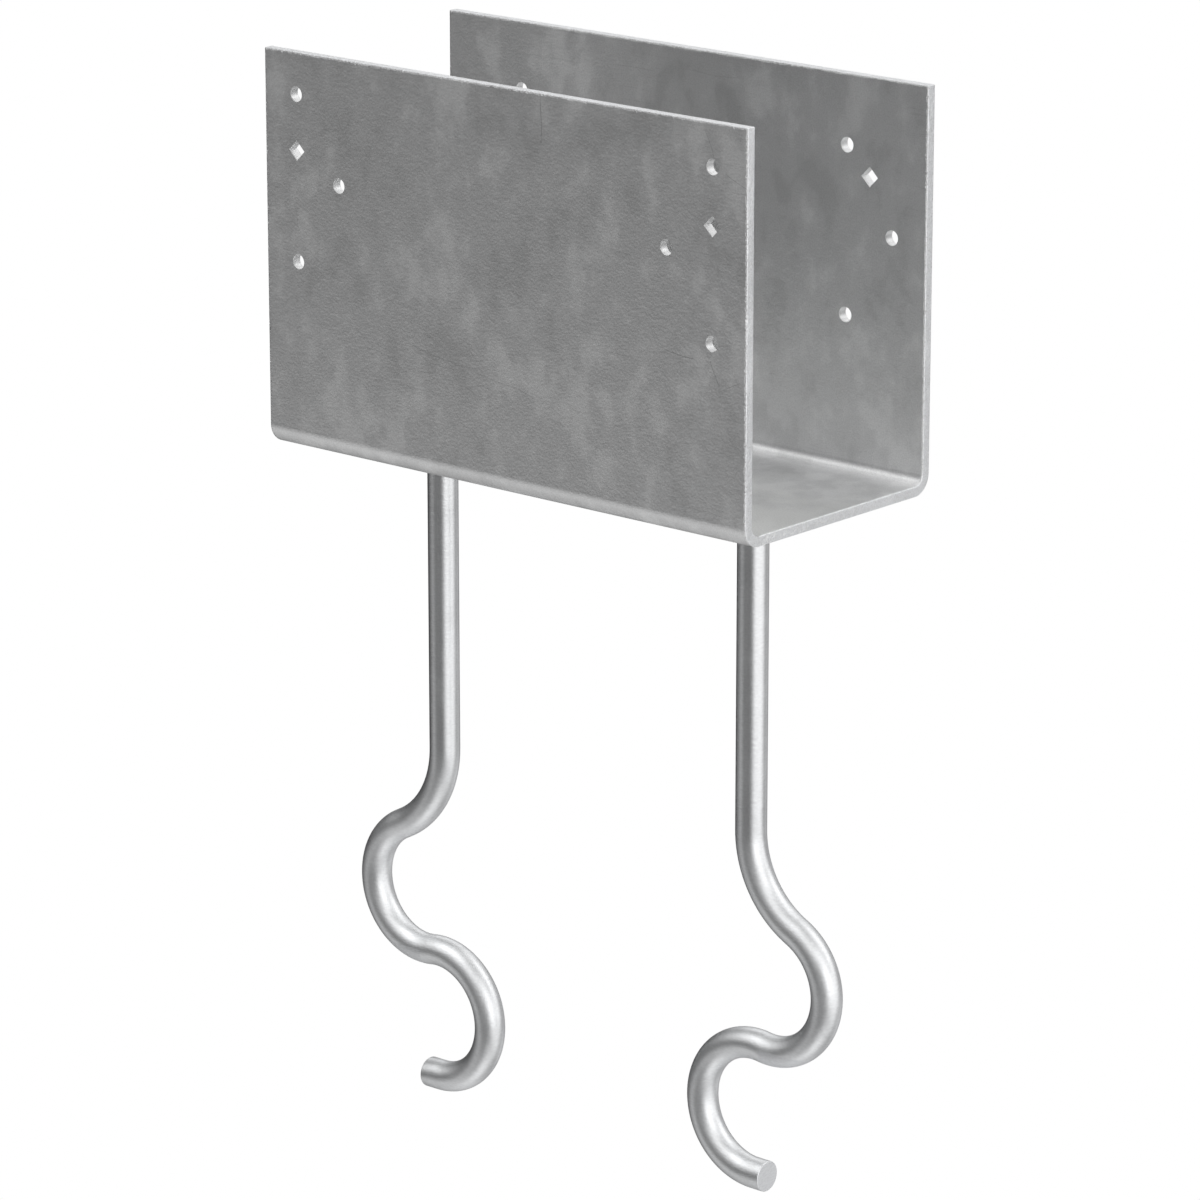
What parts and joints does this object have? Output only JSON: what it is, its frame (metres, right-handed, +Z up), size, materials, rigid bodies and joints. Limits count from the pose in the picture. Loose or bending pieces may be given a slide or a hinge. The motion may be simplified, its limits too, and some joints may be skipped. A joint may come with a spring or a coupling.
{
  "type": "column cap",
  "caption": "Folded steel saddle that holds a timber beam on top of a concrete column, with bent rods under its seat to be cast into the concrete.",
  "frame": {"origin": "centre of the seat's underside, where it lies on the column", "axes": "+X along the beam, towards the right end in the picture. +Y from the front flange to the back flange. +Z up, from the rods to the open top of the channel"},
  "size_m": [0.2866, 0.127, 0.5023],
  "materials": {
    "galvanised_plate": "matt zinc coat",
    "galvanised_rod": "smooth zinc coat",
    "weld_bead": "zinc coat over a rippled bead"
  },
  "bodies": {
    "root": {"saddle": "galvanised_plate", "right_rod": "galvanised_rod", "left_rod": "galvanised_rod", "right_weld": "weld_bead", "left_weld": "weld_bead"}
  },
  "joints": []
}
